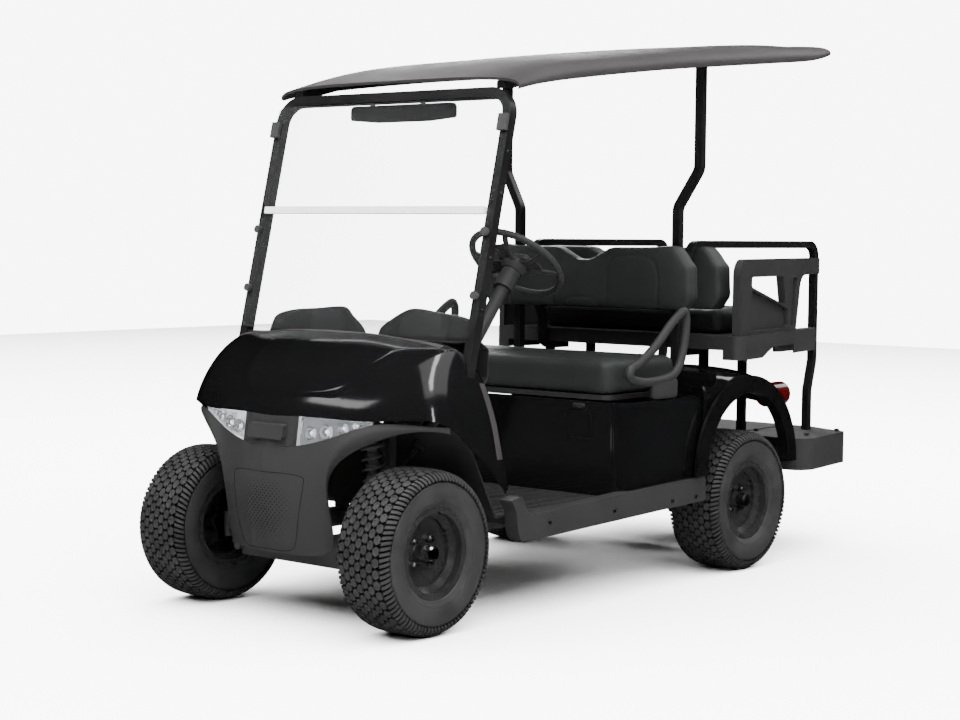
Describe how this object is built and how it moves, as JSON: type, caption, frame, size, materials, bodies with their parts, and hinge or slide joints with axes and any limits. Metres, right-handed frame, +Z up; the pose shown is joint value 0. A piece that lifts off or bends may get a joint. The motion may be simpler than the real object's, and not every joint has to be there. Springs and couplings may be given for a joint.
{
  "type": "golf cart",
  "caption": "Electric golf cart with front and rear-facing seats, hard roof, fold-down windshield, rear grab rails and a rear foot step; steering, wheels and seat cushion move.",
  "frame": {"origin": "on the ground under the middle of the whole vehicle's box", "axes": "+X to the vehicle's left-hand (driver's) side, the front faces -Y, +Z up"},
  "size_m": [1.193, 2.8309, 1.95],
  "materials": {
    "gloss_panel": "glossy",
    "grained_trim": "matt, fine grain",
    "roof_skin": "matt, fine texture",
    "black_tube": "satin",
    "chassis_paint": "satin",
    "tyre": "matt",
    "wheel_paint": "satin",
    "zinc": "satin",
    "cast": "rough",
    "vinyl": "satin",
    "clear": "clear",
    "lens": "glossy",
    "red_lens": "glossy",
    "silvered": "polished",
    "floor_mat": "matt"
  },
  "bodies": {
    "body": {"front_cowl": "gloss_panel", "seat_pod": "gloss_panel", "tail_body": "gloss_panel", "rear_flares": "gloss_panel", "front_fascia": "grained_trim", "lamp_bar": "lens", "headlamps": "lens", "tail_lamps": "red_lens", "rockers": "grained_trim", "rear_tray": "grained_trim", "rear_step": "grained_trim", "rear_arms": "grained_trim", "hip_restraints": "grained_trim", "dash": "grained_trim", "roof": "roof_skin", "floor_pan": "floor_mat", "front_struts": "black_tube", "rear_struts": "black_tube", "grab_rails": "black_tube", "roof_rails": "black_tube", "back_brackets": "black_tube", "tray_frame": "black_tube", "step_arms": "chassis_paint", "frame": "chassis_paint", "front_axle": "chassis_paint", "rack_housing": "cast", "rear_axle": "cast", "drive_motor": "cast", "leaf_springs": "chassis_paint", "front_shocks": "chassis_paint", "battery_pack": "grained_trim", "seat_hinges": "zinc", "seat_back_front": "vinyl", "seat_back_rear": "vinyl", "rear_cushion": "vinyl", "windshield_lower": "clear", "windshield_upper": "clear", "windshield_fittings": "grained_trim", "mirror": "silvered", "steering_column": "black_tube", "pedals": "chassis_paint"},
    "knuckle_left": {"knuckle_left": "cast"},
    "knuckle_right": {"knuckle_right": "cast"},
    "rack": {"steering_rack": "zinc"},
    "steering": {"steering_wheel": "grained_trim"},
    "front_seat": {"seat_pan": "grained_trim", "seat_cushion": "vinyl"},
    "wheel_front_left": {"tyre_front_left": "tyre", "wheel_front_left": "wheel_paint"},
    "wheel_front_right": {"tyre_front_right": "tyre", "wheel_front_right": "wheel_paint"},
    "wheel_rear_left": {"tyre_rear_left": "tyre", "wheel_rear_left": "wheel_paint"},
    "wheel_rear_right": {"tyre_rear_right": "tyre", "wheel_rear_right": "wheel_paint"}
  },
  "joints": [
    {"name": "steer_left", "type": "hinge", "parent": "body", "child": "knuckle_left", "pos_m": [0.372, -1.1615, 0.254], "axis": [0, 0, 1], "range_deg": [-30, 30]},
    {"name": "steer_right", "type": "hinge", "parent": "body", "child": "knuckle_right", "pos_m": [-0.372, -1.1615, 0.254], "axis": [0, 0, 1], "range_deg": [-30, 30]},
    {"name": "roll_front_left", "type": "hinge", "parent": "knuckle_left", "child": "wheel_front_left", "pos_m": [0.447, -1.1615, 0.254], "axis": [1, 0, 0], "continuous": true},
    {"name": "roll_rear_left", "type": "hinge", "parent": "body", "child": "wheel_rear_left", "pos_m": [0.495, 0.5085, 0.254], "axis": [1, 0, 0], "continuous": true},
    {"name": "roll_front_right", "type": "hinge", "parent": "knuckle_right", "child": "wheel_front_right", "pos_m": [-0.447, -1.1615, 0.254], "axis": [1, 0, 0], "continuous": true},
    {"name": "roll_rear_right", "type": "hinge", "parent": "body", "child": "wheel_rear_right", "pos_m": [-0.495, 0.5085, 0.254], "axis": [1, 0, 0], "continuous": true},
    {"name": "rack_travel", "type": "slide", "parent": "body", "child": "rack", "axis": [1, 0, 0], "range_m": [-0.0472, 0.0472]},
    {"name": "steering_turn", "type": "hinge", "parent": "body", "child": "steering", "pos_m": [0.29, -0.4915, 1.118], "axis": [0, 0.6428, 0.766], "range_deg": [-361, 361]},
    {"name": "seat_lift", "type": "hinge", "parent": "body", "child": "front_seat", "pos_m": [0, 0.2015, 0.664], "axis": [-1, 0, 0], "range_deg": [0, 60]}
  ],
  "couplings": [
    {"joint": "steer_right", "follows": "steer_left", "ratio": 1},
    {"joint": "rack_travel", "follows": "steer_left", "m_per_rad": -0.09},
    {"joint": "steering_turn", "follows": "steer_left", "ratio": 12}
  ]
}
